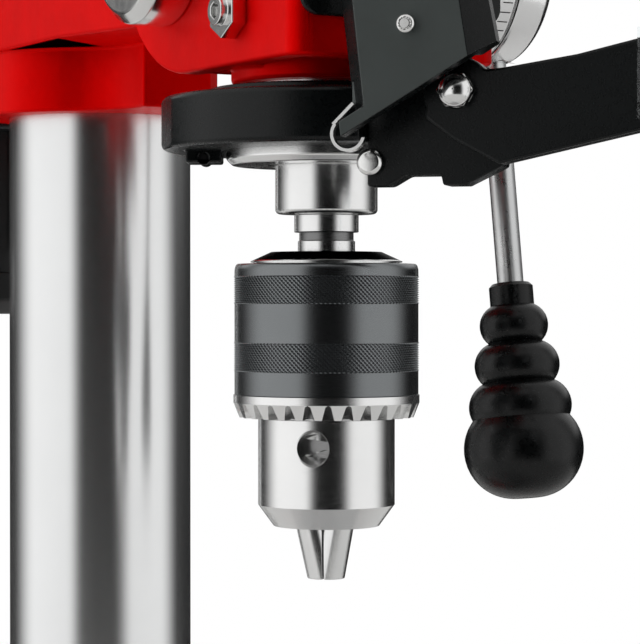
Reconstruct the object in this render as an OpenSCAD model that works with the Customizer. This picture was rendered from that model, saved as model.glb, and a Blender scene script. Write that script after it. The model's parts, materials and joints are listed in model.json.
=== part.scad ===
// Bench pillar drill, built as separate pieces in their working places.
// The origin is the centre of the bench bolt pattern, on the underside of the base.
// +X is the operator's right, +Y points to the back and +Z is up.

/* [Base] */
// Length of the base, front to back
base_len = 350; // [320:1:420]
// Width of the base
base_w = 210; // [180:1:260]
// Height of the base at its rim
base_h = 34; // [28:1:45]
// Wall of the base casting
base_wall = 10; // [7:0.5:14]
// Corner radius of the base
base_corner = 26; // [15:1:34]
// Bench bolt spacing across the base
bench_x = 166; // [140:1:176]
// Bench bolt spacing along the base
bench_y = 300; // [270:1:310]
// Radius of the bench bolt holes
bench_hole_r = 5.5; // [4:0.25:7]
// Width of the clamping slots in the base
base_slot_w = 14; // [10:1:16]
// Length of the clamping slots in the base
base_slot_len = 110; // [70:1:120]

/* [Column] */
// Outer radius of the column tube
column_r = 30; // [28:0.5:32]
// Wall of the column tube
column_wall = 4; // [3:0.5:6]
// Distance of the column axis behind the bolt pattern's centre
column_back = 95; // [90:1:105]
// Distance from the spindle axis to the column axis
throat = 150; // [146:1:156]
// Height of the head's underside
head_z = 590; // [560:1:640]
// Radius of the column foot's flange
foot_r = 66; // [60:1:72]
// Thickness of the column foot's flange
foot_h = 14; // [10:1:18]
// Height of the column foot above the base
foot_neck_h = 62; // [45:1:75]
// Wall of the column foot's neck
foot_wall = 9; // [7:0.5:12]

/* [Table] */
// Width of the work table
table_w = 194; // [170:1:220]
// Depth of the work table
table_d = 165; // [140:1:168]
// Thickness of the work table's plate
table_t = 13; // [10:0.5:18]
// Height of the work table's top face
table_z = 300; // [260:1:330]
// Distance of the tilt axis below the table's top
tilt_drop = 52; // [46:1:60]
// Radius of the tilt boss on the bracket and the table
tilt_r = 25; // [20:0.5:28]
// Radius of the tilt bolt
tilt_bolt_r = 7; // [5:0.25:9]
// Height of the bracket's clamp ring
bracket_h = 92; // [80:1:110]
// Wall of the bracket's clamp ring
bracket_wall = 11; // [9:0.5:14]

/* [Head] */
// Width of the head casting at its front
head_w = 64; // [62:1:70]
// Height of the head casting
head_h = 130; // [126:1:145]
// Front face of the head, measured from the spindle axis
head_front = 39; // [38.5:0.5:43]
// Wall of the head casting
head_wall = 7; // [5:0.5:9]
// Wall of the head's collar round the column
collar_wall = 9; // [7:0.5:9.5]
// Wall of the quill boss
boss_wall = 5.6; // [4:0.1:7]
// Height of the head's rear part above its underside
head_step = 20; // [15:0.5:24]

/* [Feed] */
// Module of the rack and its pinion
gear_m = 1.5; // [1.25:0.25:1.75]
// Teeth on the pinion
pinion_teeth = 20; // [18:1:22]
// Height of the feed shaft above the head's underside
feed_up = 40; // [38:1:48]
// Radius of the feed shaft
feed_r = 8; // [7:0.25:9]
// Radius of the depth drum
drum_r = 29.5; // [27:0.5:33]
// Width of the depth drum
drum_w = 26; // [24:1:34]
// Radius of the lever hub
hub_r = 28.5; // [26:0.5:31]
// Length of the lever hub beyond the drum
hub_len = 14; // [13.5:0.5:18]
// Radius of a lever rod
lever_r = 4; // [3.5:0.25:5]
// Distance from the hub's axis to the end of the beaded knob
lever_reach = 161; // [150:1:170]
// Length of the beaded knob
knob_len = 65; // [60:1:72]
// Tilt of the front lever from straight down, in degrees
lever_tilt = 8.1; // [0:0.1:20]

/* [Quill] */
// Radius of the quill sleeve
quill_r = 21; // [20:0.25:22]
// Travel of the quill
quill_travel = 60; // [50:1:62]
// Radius of the quill's nose flange
nose_r = 28; // [27:0.25:29]
// Height of the quill's nose flange
nose_h = 20.5; // [18:0.5:22]
// Radius of the spindle nose
spindle_nose_r = 14.3; // [13:0.1:15.5]
// Length of the spindle nose below the quill
spindle_nose_h = 13; // [10:0.5:16]

/* [Chuck] */
// Outer radius of the chuck sleeve
sleeve_r = 26; // [25.5:0.25:28]
// Radius of the chuck body below the sleeve
chuck_r = 19.1; // [18.5:0.1:20]
// Length of the chuck body below the toothed ring
chuck_body_len = 30.3; // [27:0.1:34]
// Bevel teeth on the sleeve
key_teeth = 29; // [24:1:32]
// Radius of the key holes
key_hole_r = 4.5; // [3.5:0.25:5]
// Radius of a jaw
jaw_r = 4.5; // [4:0.1:4.8]
// Slope of the jaws to the axis, in degrees
jaw_slope = 13; // [12:0.5:14]

/* [Guard] */
// Outer radius of the guard collar
guard_r = 46; // [44:0.5:50]
// Height of the guard collar
guard_h = 14.7; // [12:0.1:18]
// Thickness of the guard arm
arm_t = 8; // [6:0.5:9]
// Thickness of the clear shield
shield_t = 2.5; // [2:0.25:3.5]
// Radius of the clear shield about the spindle
shield_r = 56; // [54:0.5:60]
// Angle that the raised guard swings down, in degrees
guard_swing = 102; // [90:1:104]

/* [Drive] */
// Distance from the spindle axis to the motor axis
belt_centres = 280; // [276:1:290]
// Radius of the middle pulley step
step_mid_r = 35; // [33:0.5:37]
// Change of radius between pulley steps
step_dr = 5.5; // [4:0.25:6]
// Height of one pulley step
step_h = 13; // [12:0.5:14]
// Number of pulley steps
steps = 5; // [3:2:5]
// Radius of the motor's body
motor_r = 62; // [56:0.5:64]
// Length of the motor's body
motor_len = 186; // [150:1:200]
// Travel of the motor for belt tension
tension_travel = 12; // [8:1:12]

/* [Belt housing] */
// Radius of the belt housing's ends
housing_r = 56; // [53:0.5:57]
// Height of the belt housing's tray
tray_h = 56; // [55:1:60]
// Height of the belt lid
lid_h = 54; // [52:1:64]
// Wall of the belt housing
housing_wall = 2.5; // [2:0.25:4]

/* [Hidden] */
$fn = 64;
run_fit = 0.05;
seat_fit = 0.06;
free_gap = 0.4;
cut = 1;

// Colours as the photograph shows them, or as such a machine has them
red_paint = [0.72, 0.02, 0.02];
black_plastic = [0.07, 0.08, 0.08];
black_paint = [0.1, 0.1, 0.11];
bright_steel = [0.78, 0.78, 0.77];
dark_steel = [0.35, 0.36, 0.37];
cast_grey = [0.42, 0.43, 0.44];

// Main places
spindle_y = column_back - throat;
motor_y = spindle_y + belt_centres;
column_top = head_z + 100;
head_top = head_z + head_h;
foot_top = base_h + foot_neck_h;
tilt_z = table_z - tilt_drop;
bracket_bottom = tilt_z - bracket_h / 2;
bracket_r = column_r + bracket_wall;
table_face_y = column_back - bracket_r - 22;
table_back_y = spindle_y + table_d / 2;
table_boss_len = 62;

// Feed and quill places
pitch_r = gear_m * pinion_teeth / 2;
feed_z = head_z + feed_up;
rack_line = quill_r - 1;
feed_y = spindle_y + rack_line + pitch_r;
quill_nose_top = head_z - 2;
quill_nose_z = quill_nose_top - nose_h;
quill_top = feed_z + quill_travel + 16;
spindle_z = quill_nose_z - 0.5 - spindle_nose_h;
bearing_z = head_top - 8;
pulley_z = head_top + 28;
pulley_h = steps * step_h;

// A bolt's hexagon, measured across its corners from its radius across the flats
module hexagon(flat_r, h) {
    cylinder(r = flat_r / cos(30), h = h, $fn = 6);
}

// A cylinder with a chamfer on its top edge
module chamfered(r, h, c) {
    rotate_extrude() polygon([[0, 0], [r, 0], [r, h - c], [r - c, h], [0, h]]);
}

// A plain ring
module ring(r_out, r_in, h) {
    difference() {
        cylinder(r = r_out, h = h);
        translate([0, 0, -cut]) cylinder(r = r_in, h = h + 2 * cut);
    }
}

// A rectangle with round corners, centred
module round_rect(w, d, r) {
    square([w - 2 * r, d], center = true);
    square([w, d - 2 * r], center = true);
    for (x = [-1, 1], y = [-1, 1]) translate([x * (w / 2 - r), y * (d / 2 - r)]) circle(r = r);
}

// A slot's outline, its length measured over its round ends and along X
module slot_2d(len, w) {
    square([len - w, w], center = true);
    for (x = [-1, 1]) translate([x * (len - w) / 2, 0]) circle(d = w);
}

// A cylinder along X, from x = 0
module along_x(r, len) {
    rotate([0, 90, 0]) cylinder(r = r, h = len);
}

// A cylinder along Y, from y = 0 to the back
module along_y(r, len) {
    rotate([-90, 0, 0]) cylinder(r = r, h = len);
}

// Stand
base_slot_x = 44;
base_slot_y = -70;
pad_h = 4;
pad_r = foot_r + 6;
foot_bolt_r = 5;
foot_bolt_ring = column_r + foot_wall + 10;
foot_bolt_n = 4;
bench_pad_r = bench_hole_r + 9;

module base() {
    color(cast_grey) difference() {
        union() {
            difference() {
                linear_extrude(base_h) round_rect(base_w, base_len, base_corner);
                translate([0, 0, -cut]) linear_extrude(base_h - base_wall + cut)
                    round_rect(base_w - 2 * base_wall, base_len - 2 * base_wall, base_corner - base_wall);
            }
            for (x = [-1, 1], y = [-1, 1]) translate([x * bench_x / 2, y * bench_y / 2, 0])
                cylinder(r = bench_pad_r, h = base_h);
            translate([0, column_back, 0]) ring(pad_r - 4, column_r + 4, base_h);
            translate([0, column_back, base_h - cut]) cylinder(r = pad_r, h = pad_h + cut);
            for (x = [-1, 1]) translate([x * base_slot_x, base_slot_y, base_h - base_wall - 8])
                linear_extrude(base_wall + 8) rotate(90)
                    slot_2d(base_slot_len + 16, base_slot_w + 16);
        }
        for (x = [-1, 1], y = [-1, 1]) translate([x * bench_x / 2, y * bench_y / 2, -cut])
            cylinder(r = bench_hole_r, h = base_h + 2 * cut);
        for (x = [-1, 1]) translate([x * base_slot_x, base_slot_y, -cut])
            linear_extrude(base_h + 2 * cut) rotate(90) slot_2d(base_slot_len, base_slot_w);
        translate([0, column_back, 0]) foot_bolt_places()
            translate([0, 0, base_h - 20]) cylinder(r = foot_bolt_r + seat_fit, h = 20 + pad_h + cut);
    }
}

module foot_bolt_places() {
    for (i = [0 : foot_bolt_n - 1]) rotate(45 + i * 360 / foot_bolt_n)
        translate([foot_bolt_ring, 0, 0]) children();
}

module column_foot() {
    r_neck = column_r + foot_wall;
    z0 = base_h + pad_h;
    color(red_paint) translate([0, column_back, z0]) difference() {
        rotate_extrude() {
            polygon([[0, 0], [foot_r, 0], [foot_r, foot_h - 3], [foot_r - 3, foot_h],
                [r_neck + 4, foot_h + 2], [r_neck, foot_h + 7], [r_neck, foot_top - z0 - 2],
                [r_neck - 2, foot_top - z0], [0, foot_top - z0]]);
        }
        translate([0, 0, -cut]) cylinder(r = column_r + seat_fit, h = foot_neck_h + 2 * cut);
        foot_bolt_places() translate([0, 0, -cut]) cylinder(r = foot_bolt_r + 0.5, h = foot_h + 20);
        foot_bolt_places() translate([0, 0, foot_h]) cylinder(r = foot_bolt_r + 6, h = 30);
    }
}

module foot_bolts() {
    color(dark_steel) translate([0, column_back, base_h + pad_h]) foot_bolt_places() {
        translate([0, 0, -22]) cylinder(r = foot_bolt_r, h = 22 + foot_h);
        translate([0, 0, foot_h]) cylinder(r = foot_bolt_r + 5, h = 1.5);
        translate([0, 0, foot_h + 1.5]) hexagon(8, 6.5);
    }
}

module column() {
    z0 = base_h + pad_h;
    color(bright_steel) translate([0, column_back, z0])
        ring(column_r, column_r - column_wall, column_top - z0);
}

// Table
ear_len = 26;
ear_gap = 5;
clamp_y = column_back + bracket_r + 9;
clamp_screw_r = 6;
table_slot_x = 56;
table_slot_len = 74;
table_slot_w = 12;
table_hole_r = 9;

module table_bracket() {
    color(red_paint) difference() {
        union() {
            translate([0, column_back, bracket_bottom]) cylinder(r = bracket_r, h = bracket_h);
            translate([0, table_face_y, tilt_z]) along_y(tilt_r, bracket_r + 12);
            translate([-6, table_face_y + 14, bracket_bottom])
                cube([12, column_back - table_face_y - column_r - 20, bracket_h / 2]);
            translate([-ear_len, column_back, tilt_z - 21])
                cube([2 * ear_len, bracket_r + 19, 42]);
        }
        translate([0, column_back, bracket_bottom - cut])
            cylinder(r = column_r + run_fit, h = bracket_h + 2 * cut);
        translate([-ear_gap / 2, column_back, bracket_bottom - cut])
            cube([ear_gap, bracket_r + 30, bracket_h + 2 * cut]);
        translate([-ear_len - cut, clamp_y, tilt_z]) along_x(clamp_screw_r + run_fit, 2 * ear_len + 2 * cut);
        translate([0, table_face_y - cut, tilt_z]) along_y(tilt_bolt_r + seat_fit, 34);
    }
}

module bracket_screw() {
    color(dark_steel) translate([-ear_len - 14, clamp_y, tilt_z]) difference() {
        union() {
            along_x(clamp_screw_r, 2 * ear_len + 30);
            translate([2, 0, 0]) rotate([0, 90, 0]) hexagon(10, 10);
            translate([2 * ear_len + 16.5, 0, 0]) along_x(10, 20);
        }
        translate([2 * ear_len + 26.5, 0, -20]) cylinder(r = lever_bar_r + seat_fit, h = 40);
    }
}

lever_bar_len = 84;
lever_bar_r = 4;

module bracket_lever() {
    color(black_plastic) translate([ear_len + 12.5, clamp_y, tilt_z]) {
        translate([0, 0, -18]) cylinder(r = lever_bar_r, h = lever_bar_len);
        translate([0, 0, lever_bar_len - 18]) rotate_extrude()
            polygon([[0, -14], [6, -14], [8.5, -4], [9.5, 6], [8, 13], [4, 16], [0, 16.5]]);
        translate([0, 0, -23]) rotate_extrude() polygon([[0, 0], [5, 0], [6, 1.5], [6, 5], [0, 5]]);
    }
}

module table() {
    boss_r = tilt_r;
    color(cast_grey) difference() {
        union() {
            translate([0, table_back_y - table_d / 2, table_z - table_t]) linear_extrude(table_t)
                round_rect(table_w, table_d, 14);
            translate([0, table_face_y - table_boss_len, tilt_z]) along_y(boss_r, table_boss_len);
            translate([-boss_r, table_face_y - table_boss_len, tilt_z])
                cube([2 * boss_r, table_boss_len, tilt_drop - table_t / 2]);
            for (a = [-35, 35]) translate([0, spindle_y + 4, table_z - table_t - 9]) rotate(a)
                translate([-78, -5, 0]) cube([156, 10, 9 + table_t / 2]);
        }
        for (x = [-1, 1]) translate([x * table_slot_x, spindle_y, tilt_z]) linear_extrude(table_z)
            rotate(90) slot_2d(table_slot_len, table_slot_w);
        translate([0, spindle_y, tilt_z - tilt_drop]) cylinder(r = table_hole_r, h = 2 * table_z);
        translate([0, table_face_y - table_boss_len - cut, tilt_z])
            along_y(tilt_bolt_r + run_fit, table_boss_len + 2 * cut);
    }
}

module tilt_bolt() {
    head_y = table_face_y - table_boss_len;
    color(dark_steel) translate([0, 0, tilt_z]) {
        translate([0, head_y - 2, 0]) along_y(tilt_bolt_r, table_boss_len + 32);
        translate([0, head_y - 2, 0]) along_y(tilt_bolt_r + 7, 1.7);
        translate([0, head_y - 12, 0]) rotate([-90, 0, 0]) hexagon(11, 10);
    }
}

// Head
head_half = head_w / 2;
head_front_y = spindle_y - head_front;
head_corner = 6;
wall_foot = 3.8;
belly_y = spindle_y + 24;
belly_end = 33;
belly_r = (belly_end * belly_end + pow(head_step - wall_foot, 2)) / (2 * (head_step - wall_foot));
taper_from = spindle_y + 60;
taper_to = spindle_y + 95;
boss_r = quill_r + boss_wall;
collar_r = column_r + collar_wall;
rear_half = collar_r + 1;
web_half = 12;
web_front = spindle_y + 92;
web_fillet = 30;
tower_r = 30;
tower_top = head_top + 24;
bearing_r = 23.5;
bearing_bore = 12.5;
bearing_h = 12;
rod_x = 27;
rod_z = head_top - 15;
rod_r = 6;
rod_front = column_back - 33;
set_screw_r = 4;
set_screw_z = [head_z + 28, head_z + 62];
gib_y = spindle_y - 6;
gib_z = head_z + 18;
gib_in = 3 - quill_r;
gib_tip = -quill_r - 0.7;
gib_nut_h = 4.5;
gib_end = 6.5;
feed_boss_r = 24;
feed_boss_h = 12;
switch_half = 31;
switch_z0 = head_z + 14;
switch_z1 = head_z + 92;
switch_t = 2;
button_z = head_z + 62;
button_x = 15;
button_r = 9.5;
button_travel = 2.5;
block_half = 27;
block_d = 14;

module head_plan() {
    r = head_corner;
    translate([-head_half, head_front_y + r]) square([head_w, taper_from - head_front_y - r]);
    translate([-head_half + r, head_front_y]) square([head_w - 2 * r, 2 * r]);
    for (x = [-1, 1]) translate([x * (head_half - r), head_front_y + r]) circle(r = r);
    polygon([[-head_half, spindle_y], [-head_half, taper_from], [-rear_half, taper_to],
        [-rear_half, column_back], [rear_half, column_back], [rear_half, taper_to],
        [head_half, taper_from], [head_half, spindle_y]]);
    translate([0, column_back]) circle(r = rear_half);
}

// Side outline of the head: a deep front, a round belly and a raised rear
module head_side() {
    z0 = head_z + wall_foot;
    z1 = head_z + head_step;
    translate([head_front_y - cut, z0]) square([belly_y - head_front_y + cut, head_top - z0]);
    translate([belly_y, z1]) square([column_back + rear_half - belly_y + cut, head_top - z1]);
    intersection() {
        translate([belly_y, z0 + belly_r]) circle(r = belly_r);
        translate([belly_y, z0]) square([belly_end, head_step]);
    }
}

// Web from the column collar towards the quill boss, blended into the collar by a hollow arc
module web_plan() {
    reach = collar_r + web_fillet;
    dx = web_half + web_fillet;
    dy = sqrt(reach * reach - dx * dx);
    touch_x = dx * collar_r / reach;
    touch_y = column_back - dy * collar_r / reach;
    translate([-web_half, web_front]) square([2 * web_half, column_back - web_front]);
    difference() {
        polygon([[0, column_back], [touch_x, touch_y], [web_half, column_back - dy],
            [-web_half, column_back - dy], [-touch_x, touch_y]]);
        for (x = [-1, 1]) translate([x * dx, column_back - dy]) circle(r = web_fillet);
    }
}

module head_solid() {
    intersection() {
        translate([0, 0, head_z]) linear_extrude(head_h) head_plan();
        rotate([90, 0, 90]) linear_extrude(2 * rear_half + 2, center = true) head_side();
    }
}

module head_casting() {
    pocket_y = head_front_y + head_wall;
    color(red_paint) difference() {
        union() {
            difference() {
                head_solid();
                translate([-head_half + head_wall, pocket_y, head_z - cut])
                    cube([head_w - 2 * head_wall, spindle_y + 33 - pocket_y, 12 + cut]);
            }
            translate([0, spindle_y, head_z]) cylinder(r = boss_r, h = 20);
            translate([0, column_back, head_z]) cylinder(r = collar_r, h = 30);
            translate([0, 0, head_z]) linear_extrude(head_step + 8) web_plan();
            translate([0, spindle_y, head_top - cut]) cylinder(r = tower_r, h = tower_top - head_top + cut);
            translate([head_half - cut, feed_y, feed_z]) along_x(feed_boss_r, feed_boss_h + cut);
        }
        translate([0, spindle_y, head_z - cut]) cylinder(r = quill_r + run_fit, h = quill_top - head_z + 2);
        translate([0, spindle_y, head_z]) cylinder(r = bearing_bore + 2, h = head_h + 40);
        translate([0, spindle_y, bearing_z]) cylinder(r = bearing_r + seat_fit, h = 60);
        translate([0, column_back, head_z - cut])
            cylinder(r = column_r + seat_fit, h = column_top - head_z + 2 + cut);
        translate([-head_half - cut, feed_y, feed_z]) along_x(feed_r + run_fit, head_w + 20);
        translate([-pinion_w / 2 - 1.5, feed_y, feed_z]) along_x(pitch_r + gear_m + 0.8, pinion_w + 3);
        for (x = [-1, 1]) translate([x * rod_x, rod_front - tension_travel - 2, rod_z])
            along_y(rod_r + run_fit, 140);
        for (z = set_screw_z) translate([column_r - cut, column_back, z]) along_x(set_screw_r + seat_fit, 40);
        translate([-head_half - cut, gib_y, gib_z]) along_x(set_screw_r + seat_fit, gib_in + head_half + cut);
        translate([-block_half, head_front_y - cut, button_z - 22])
            cube([2 * block_half, block_d + cut + 1, 44]);
    }
}

module column_set_screws() {
    color(dark_steel) for (z = set_screw_z) translate([column_r + free_gap, column_back, z]) difference() {
        along_x(set_screw_r, rear_half - column_r + 2);
        translate([rear_half - column_r - 2, 0, 0]) rotate([0, 90, 0]) hexagon(2, 10);
    }
}

// Guide screw of the quill with its lock nut on the head's left wall
module gib_screw() {
    color(bright_steel) translate([-head_half, gib_y, gib_z]) difference() {
        union() {
            translate([-gib_end, 0, 0]) along_x(set_screw_r, head_half + gib_tip + gib_end);
            translate([-gib_nut_h, 0, 0]) rotate([0, 90, 0]) hexagon(6.5, gib_nut_h);
        }
        translate([-gib_end - cut, 0, 0]) rotate([0, 90, 0]) hexagon(2, 3.5 + cut);
    }
}

module switch_plate() {
    w = 2 * switch_half;
    h = switch_z1 - switch_z0;
    color(black_plastic) difference() {
        union() {
            translate([0, head_front_y, (switch_z0 + switch_z1) / 2]) rotate([90, 0, 0])
                linear_extrude(switch_t) round_rect(w, h, 5);
            translate([-block_half + free_gap, head_front_y - 0.5, button_z - 21])
                cube([2 * (block_half - free_gap), block_d + 0.5, 42]);
            for (x = [-1, 1]) translate([x * button_x, head_front_y - switch_t - 3, button_z])
                along_y(button_r + 3, 4);
        }
        for (x = [-1, 1]) translate([x * button_x, head_front_y - 20, button_z])
            along_y(button_r + 0.3, 20 + button_travel + 2.5);
    }
}

module push_button(x, proud) {
    y0 = head_front_y - switch_t - proud;
    translate([x, y0, button_z]) rotate([-90, 0, 0]) mirror([0, 0, 1])
        translate([0, 0, -proud - switch_t - 2]) chamfered(button_r, proud + switch_t + 2, 1);
}

module start_button() {
    color([0.05, 0.45, 0.12]) push_button(-button_x, 4);
}

module stop_button() {
    color([0.75, 0.05, 0.05]) push_button(button_x, 7);
}

// Feed
cap_r = 22;
cap_h = 14;
cap_wall = 2.5;
spring_turns = 5;
spring_strip = 0.9;
pinion_w = 20;
backlash = 0.12;
drum_x = head_half + feed_boss_h + 1;
hub_x = drum_x + drum_w;
lever_x = hub_x + 2 + lever_r;
hub_end = hub_x + hub_len;
shaft_left = -head_half - cap_h - 10;
drum_bore = 16;
lever_angles = [-90 - lever_tilt, 30 - lever_tilt, 150 - lever_tilt];
lever_in = 10;

module feed_axis() {
    translate([0, feed_y, feed_z]) children();
}

module spring_cap() {
    color(bright_steel) feed_axis() translate([-head_half, 0, 0]) rotate([0, -90, 0]) difference() {
        rotate_extrude() polygon([[0, 0], [cap_r, 0], [cap_r, cap_h - 3], [cap_r - 3, cap_h], [0, cap_h]]);
        translate([0, 0, -cut]) cylinder(r = cap_r - cap_wall, h = cap_h - cap_wall + cut);
        cylinder(r = feed_r + free_gap, h = cap_h + cut);
        for (i = [0 : 2]) rotate(20 + i * 60) translate([cap_r - 1.5, -2, -cut]) cube([4, 4, 6 + cut]);
    }
}

// Flat spiral spring inside the cap
function spiral(r0, r1, turns, n) = [for (i = [0 : n])
    let (u = i / n, r = r0 + (r1 - r0) * u, a = 360 * turns * u) [r * cos(a), r * sin(a)]];
function reversed(v) = [for (i = [len(v) - 1 : -1 : 0]) v[i]];

module return_spring() {
    outer = cap_r - cap_wall - 0.3;
    inner = feed_r + 0.6;
    n = spring_turns * 16;
    color(dark_steel) feed_axis() translate([-head_half - 9.5, 0, 0]) rotate([0, 90, 0]) linear_extrude(8)
        polygon(concat(spiral(inner + spring_strip, outer, spring_turns, n),
            reversed(spiral(inner, outer - spring_strip, spring_turns, n))));
}

// Involute tooth of the pinion
function inv_deg(a) = tan(a) * 180 / PI - a;
function flank_angle(r, base_r) = 90 / pinion_teeth - backlash / 2 / pitch_r * 180 / PI
    + inv_deg(20) - inv_deg(acos(base_r / r));
function polar(r, a) = [r * cos(a), r * sin(a)];

module pinion_plan() {
    base_r = pitch_r * cos(20);
    root_r = pitch_r - 1.25 * gear_m;
    tip_r = pitch_r + 0.9 * gear_m;
    rs = [for (i = [0 : 4]) base_r + (tip_r - base_r) * i / 4];
    circle(r = root_r + 0.05);
    for (k = [0 : pinion_teeth - 1]) rotate(180 + k * 360 / pinion_teeth)
        polygon(concat([polar(root_r - 0.5, -flank_angle(base_r, base_r))],
            [for (r = rs) polar(r, -flank_angle(r, base_r))],
            [for (r = reversed(rs)) polar(r, flank_angle(r, base_r))],
            [polar(root_r - 0.5, flank_angle(base_r, base_r))]));
}

module feed_shaft() {
    color(bright_steel) feed_axis() {
        translate([shaft_left, 0, 0]) along_x(feed_r, hub_end - 2 - shaft_left);
        rotate([90, 0, 90]) translate([0, 0, -pinion_w / 2]) linear_extrude(pinion_w) pinion_plan();
    }
}

module feed_nuts() {
    color(dark_steel) feed_axis() for (x = [-head_half - cap_h - 4.5, -head_half - cap_h - 9])
        translate([x, 0, 0]) difference() {
            rotate([0, 90, 0]) hexagon(11, 4);
            translate([-cut, 0, 0]) along_x(feed_r + seat_fit, 4 + 2 * cut);
        }
}

module feed_hub() {
    color(bright_steel) feed_axis() difference() {
        union() {
            translate([drum_x, 0, 0]) along_x(drum_bore - run_fit, drum_w + cut);
            translate([hub_x, 0, 0]) rotate([0, 90, 0]) rotate_extrude()
                polygon([[0, 0], [hub_r - 1, 0], [hub_r, 1], [hub_r, hub_len - 4.5],
                    [hub_r - 1.4, hub_len - 1.8], [hub_r - 4.5, hub_len], [0, hub_len]]);
        }
        translate([drum_x - cut, 0, 0]) along_x(feed_r + seat_fit, hub_end - 2 - drum_x + cut);
        for (a = lever_angles) rotate([a, 0, 0]) translate([lever_x, lever_in, 0])
            along_y(lever_r + seat_fit, 30);
    }
}

module depth_drum() {
    color(bright_steel) feed_axis() translate([drum_x, 0, 0]) rotate([0, 90, 0]) difference() {
        rotate_extrude() polygon([[0, 0], [drum_r - 1.5, 0], [drum_r, 1.5], [drum_r, drum_w - 1.7],
            [drum_r - 1.2, drum_w - 0.5], [0, drum_w - 0.5]]);
        translate([0, 0, -cut]) cylinder(r = drum_bore, h = drum_w + 2 * cut);
        translate([0, 0, drum_w / 3]) rotate([0, 90, 180]) cylinder(r = 2.5 + seat_fit, h = drum_r + cut);
    }
}

module drum_screw() {
    color(dark_steel) feed_axis() translate([drum_x + drum_w / 3, 0, drum_bore + free_gap]) {
        cylinder(r = 2.5, h = drum_r - drum_bore + 2);
        translate([0, 0, drum_r - drum_bore + 1]) chamfered(6, 8, 1);
    }
}

module feed_levers() {
    color(bright_steel) feed_axis() for (a = lever_angles) rotate([a, 0, 0])
        translate([lever_x, lever_in + free_gap, 0]) along_y(lever_r, lever_reach - 22 - lever_in);
}

// Beaded knob: a neck, three growing beads and a large end ball, measured from the knob's outer end
bead_r = [18, 15.5, 12.85, 10.35];
bead_at = [14.8, 27.7, 40.1, 52.2];
bead_round = [14.8, 8, 7.4, 6.8];
neck_r = 6.65;
neck_cup_wall = 1.1;
neck_cup_d = 4;

module knob_profile() {
    for (i = [0 : 3]) intersection() {
        translate([bead_r[i] - bead_round[i], bead_at[i]]) circle(r = bead_round[i]);
        square([bead_r[i] + cut, knob_len]);
    }
    polygon([[0, 0], [bead_r[0] - bead_round[0], 0], [11, bead_at[0]], [11, bead_at[1]], [8.5, bead_at[2]],
        [neck_r, bead_at[3]], [neck_r, knob_len - 1], [neck_r - 1, knob_len], [0, knob_len]]);
}

module lever_knobs() {
    color(black_plastic) feed_axis() for (a = lever_angles) rotate([a, 0, 0])
        translate([lever_x, lever_reach, 0]) rotate([90, 0, 0]) difference() {
            rotate_extrude() knob_profile();
            translate([0, 0, 20]) cylinder(r = lever_r + seat_fit, h = knob_len);
            translate([0, 0, knob_len - neck_cup_d])
                cylinder(r = neck_r - neck_cup_wall, h = neck_cup_d + cut);
        }
}

// Quill and spindle
quill_bore = 15.6;
nose_bearing_r = 23.5;
nose_bearing_bore = 12.5;
nose_bearing_h = 12;
nose_bearing_z = quill_nose_z + 4;
top_bearing_bore = 8.5;
top_bearing_h = 7;
spindle_top = head_top + 80;
spline_r = 8;
spline_n = 6;
spline_w = 3;
spline_d = 1.2;
socket_r = 8.9;
socket_end_r = 7.1;
socket_len = 68;
rack_pitch = PI * gear_m;
rack_half_w = pinion_w / 2 + 1.5;

module at_spindle() {
    translate([0, spindle_y, 0]) children();
}

// One tooth space of the rack, cut square across the back of the quill
module rack_space() {
    deep = 1.25 * gear_m;
    half = rack_pitch / 4 + backlash / 2;
    slope = tan(20);
    rotate([90, 0, 90]) linear_extrude(2 * rack_half_w, center = true)
        polygon([[-deep, -half + deep * slope], [3, -half - 3 * slope], [3, half + 3 * slope],
            [-deep, half - deep * slope]]);
}

module quill() {
    first = -3;
    last = ceil(quill_travel / rack_pitch) + 2;
    color(bright_steel) at_spindle() difference() {
        union() {
            translate([0, 0, quill_nose_z]) rotate_extrude()
                polygon([[0, 0], [nose_r - 1.7, 0], [nose_r, 1.7], [nose_r, nose_h], [0, nose_h]]);
            translate([0, 0, quill_nose_z]) cylinder(r = quill_r, h = quill_top - quill_nose_z);
        }
        translate([0, 0, quill_nose_z - cut]) cylinder(r = spindle_nose_r + 2, h = 2 * nose_h);
        translate([0, 0, nose_bearing_z]) cylinder(r = nose_bearing_r + seat_fit, h = nose_bearing_h + 0.1);
        translate([0, 0, quill_nose_z]) cylinder(r = quill_bore, h = quill_top);
        translate([0, rack_line, feed_z])
            for (k = [first : last]) translate([0, 0, k * rack_pitch]) rack_space();
    }
}

module upper_bearing() {
    color(dark_steel) at_spindle() translate([0, 0, quill_top - top_bearing_h - 1])
        ring(quill_bore - seat_fit, top_bearing_bore + seat_fit, top_bearing_h);
}

module lower_bearing() {
    color(dark_steel) at_spindle() translate([0, 0, nose_bearing_z])
        ring(nose_bearing_r, nose_bearing_bore + seat_fit, nose_bearing_h);
}

module spindle() {
    neck_z = nose_bearing_z + nose_bearing_h + 2;
    top_z = quill_top - top_bearing_h - 1;
    color(bright_steel) at_spindle() difference() {
        rotate_extrude() polygon([[0, spindle_z], [spindle_nose_r - 1, spindle_z],
            [spindle_nose_r - 0.3, spindle_z + 0.3], [spindle_nose_r, spindle_z + 1],
            [spindle_nose_r, nose_bearing_z], [nose_bearing_bore, nose_bearing_z],
            [nose_bearing_bore, neck_z], [10.5, neck_z], [10.5, top_z], [top_bearing_bore, top_z],
            [top_bearing_bore, quill_top], [spline_r, quill_top], [spline_r, spindle_top - 1],
            [spline_r - 1, spindle_top], [0, spindle_top]]);
        translate([0, 0, spindle_z - 0.01]) cylinder(r1 = socket_r, r2 = socket_end_r, h = socket_len);
        for (i = [0 : spline_n - 1]) rotate(i * 360 / spline_n)
            translate([spline_r - spline_d, -spline_w / 2, quill_top + 2]) cube([4, spline_w, 200]);
    }
}

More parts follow.
